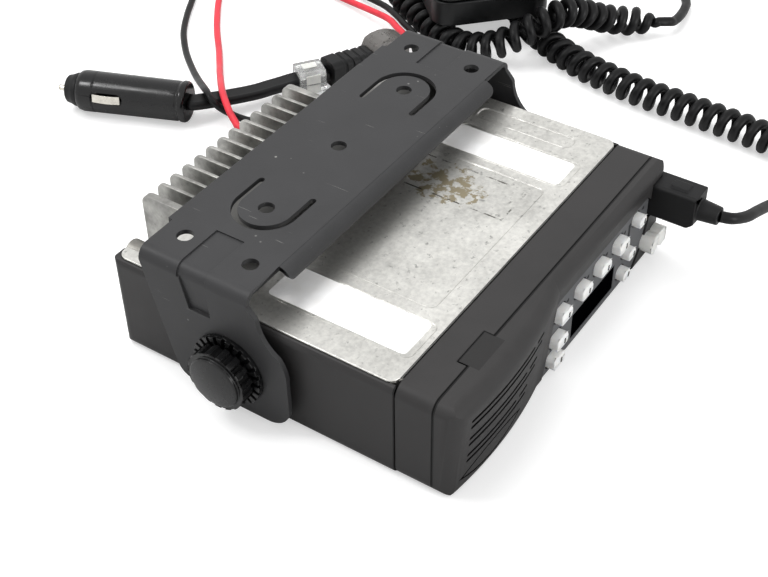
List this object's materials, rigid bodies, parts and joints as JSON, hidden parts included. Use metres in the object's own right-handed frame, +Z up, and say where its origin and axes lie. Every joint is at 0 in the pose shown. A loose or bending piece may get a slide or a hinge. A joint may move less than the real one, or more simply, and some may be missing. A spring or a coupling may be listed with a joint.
{
  "type": "mobile transceiver",
  "caption": "Boxy vehicle two-way radio with a finned cast base, keyed front, tilting U bracket with clamp knobs, hand microphone on a curly cord and a lighter-plug power lead.",
  "frame": {"origin": "on the flat face of the cover that the radio lies on, under the middle of the body", "axes": "+X to the right seen from the front panel, -Y out of the front panel, +Z up from the cover towards the cast base and the bracket's plate"},
  "size_m": [0.4182, 0.3525, 0.0607],
  "materials": {
    "die_cast": "bare cast",
    "black_moulding": "fine texture",
    "panel_plastic": "matt",
    "display_lens": "gloss",
    "lcd_glass": "matt",
    "silicone": "matt",
    "circuit_board": "solder mask",
    "black_plastic": "matt",
    "plated_steel": "plated",
    "brass": "turned",
    "black_rubber": "matt",
    "powder_coat": "powder coat",
    "gloss_black": "gloss",
    "white_key": "satin",
    "grey_key": "satin",
    "cord_jacket": "matt",
    "red_jacket": "satin",
    "mic_shell": "fine texture",
    "nylon": "translucent",
    "clear_sleeve": "clear",
    "fuse_glass": "clear"
  },
  "bodies": {
    "radio": {"chassis_casting": "die_cast", "case_cover": "black_moulding", "front_frame": "black_moulding", "front_bezel": "black_moulding", "keypad_panel": "panel_plastic", "display_window": "display_lens", "lcd_module": "lcd_glass", "keypad_mat": "silicone", "control_board": "circuit_board", "speaker": "black_plastic", "mic_jack": "black_plastic", "main_board": "circuit_board", "rf_shield": "plated_steel", "power_module": "black_plastic", "board_screws": "plated_steel", "pivot_inserts": "brass", "pivot_washers": "black_rubber", "antenna_socket": "plated_steel", "power_socket": "black_plastic", "mic_plug": "black_rubber", "mic_cord_tail": "cord_jacket", "mic_cord_coil": "cord_jacket", "mic_cord_lead": "cord_jacket", "mic_relief": "black_rubber", "mic_rear_shell": "mic_shell", "mic_front_shell": "mic_shell", "mic_element": "plated_steel", "mic_board": "circuit_board", "ptt_switch": "black_plastic", "mic_clip_stud": "plated_steel", "power_plug": "black_plastic", "red_lead": "red_jacket", "black_lead": "cord_jacket", "lead_connector": "nylon", "lead_boot": "black_plastic", "marker_sleeve": "clear_sleeve", "twin_lead": "cord_jacket", "lighter_body": "gloss_black", "lighter_nose": "black_plastic", "lighter_fuse": "fuse_glass"},
    "bracket": {"bracket": "powder_coat", "lock_washers": "gloss_black"},
    "knob_left": {"knob_left": "gloss_black", "stud_left": "plated_steel"},
    "knob_right": {"knob_right": "gloss_black", "stud_right": "plated_steel"},
    "key_1": {"key_1": "white_key"},
    "key_2": {"key_2": "white_key"},
    "key_3": {"key_3": "white_key"},
    "key_4": {"key_4": "white_key"},
    "key_5": {"key_5": "white_key"},
    "key_6": {"key_6": "white_key"},
    "key_7": {"key_7": "white_key"},
    "key_8": {"key_8": "white_key"},
    "key_9": {"key_9": "white_key"},
    "volume_rocker": {"volume_rocker": "grey_key"},
    "ptt_button": {"ptt_button": "gloss_black"},
    "lighter_tip": {"lighter_tip": "plated_steel"},
    "contact_left": {"contact_left": "plated_steel"},
    "contact_right": {"contact_right": "plated_steel"}
  },
  "joints": [
    {"name": "bracket_tilt", "type": "hinge", "parent": "radio", "child": "bracket", "pos_m": [0, 0.014, 0.022], "axis": [1, 0, 0], "range_deg": [-12, 12]},
    {"name": "knob_left_turn", "type": "hinge", "parent": "radio", "child": "knob_left", "pos_m": [-0.096, 0.014, 0.022], "axis": [1, 0, 0], "continuous": true},
    {"name": "knob_right_turn", "type": "hinge", "parent": "radio", "child": "knob_right", "pos_m": [0.096, 0.014, 0.022], "axis": [1, 0, 0], "continuous": true},
    {"name": "key_1_press", "type": "slide", "parent": "radio", "child": "key_1", "axis": [0, 1, 0], "range_m": [0, 0.0008], "stiffness_N_per_m": 600},
    {"name": "key_2_press", "type": "slide", "parent": "radio", "child": "key_2", "axis": [0, 1, 0], "range_m": [0, 0.0008], "stiffness_N_per_m": 600},
    {"name": "key_3_press", "type": "slide", "parent": "radio", "child": "key_3", "axis": [0, 1, 0], "range_m": [0, 0.0008], "stiffness_N_per_m": 600},
    {"name": "key_4_press", "type": "slide", "parent": "radio", "child": "key_4", "axis": [0, 1, 0], "range_m": [0, 0.0008], "stiffness_N_per_m": 600},
    {"name": "key_5_press", "type": "slide", "parent": "radio", "child": "key_5", "axis": [0, 1, 0], "range_m": [0, 0.0008], "stiffness_N_per_m": 600},
    {"name": "key_6_press", "type": "slide", "parent": "radio", "child": "key_6", "axis": [0, 1, 0], "range_m": [0, 0.0008], "stiffness_N_per_m": 600},
    {"name": "key_7_press", "type": "slide", "parent": "radio", "child": "key_7", "axis": [0, 1, 0], "range_m": [0, 0.0008], "stiffness_N_per_m": 600},
    {"name": "key_8_press", "type": "slide", "parent": "radio", "child": "key_8", "axis": [0, 1, 0], "range_m": [0, 0.0008], "stiffness_N_per_m": 600},
    {"name": "key_9_press", "type": "slide", "parent": "radio", "child": "key_9", "axis": [0, 1, 0], "range_m": [0, 0.0008], "stiffness_N_per_m": 600},
    {"name": "volume_rock", "type": "hinge", "parent": "radio", "child": "volume_rocker", "pos_m": [0.0745, -0.0702, 0.0095], "axis": [0, 0, 1], "range_deg": [-3, 3], "stiffness_Nm_per_rad": 0.3},
    {"name": "ptt_press", "type": "slide", "parent": "radio", "child": "ptt_button", "axis": [0.7193, -0.6947, 0], "range_m": [0, 0.002], "stiffness_N_per_m": 600},
    {"name": "tip_press", "type": "slide", "parent": "radio", "child": "lighter_tip", "axis": [0.3665, -0.9304, 0], "range_m": [0, 0.0025], "stiffness_N_per_m": 800},
    {"name": "contact_left_press", "type": "slide", "parent": "radio", "child": "contact_left", "axis": [0.8987, 0.354, -0.2588], "range_m": [0, 0.0012], "stiffness_N_per_m": 800},
    {"name": "contact_right_press", "type": "slide", "parent": "radio", "child": "contact_right", "axis": [-0.8987, -0.354, 0.2588], "range_m": [0, 0.0012], "stiffness_N_per_m": 800}
  ]
}
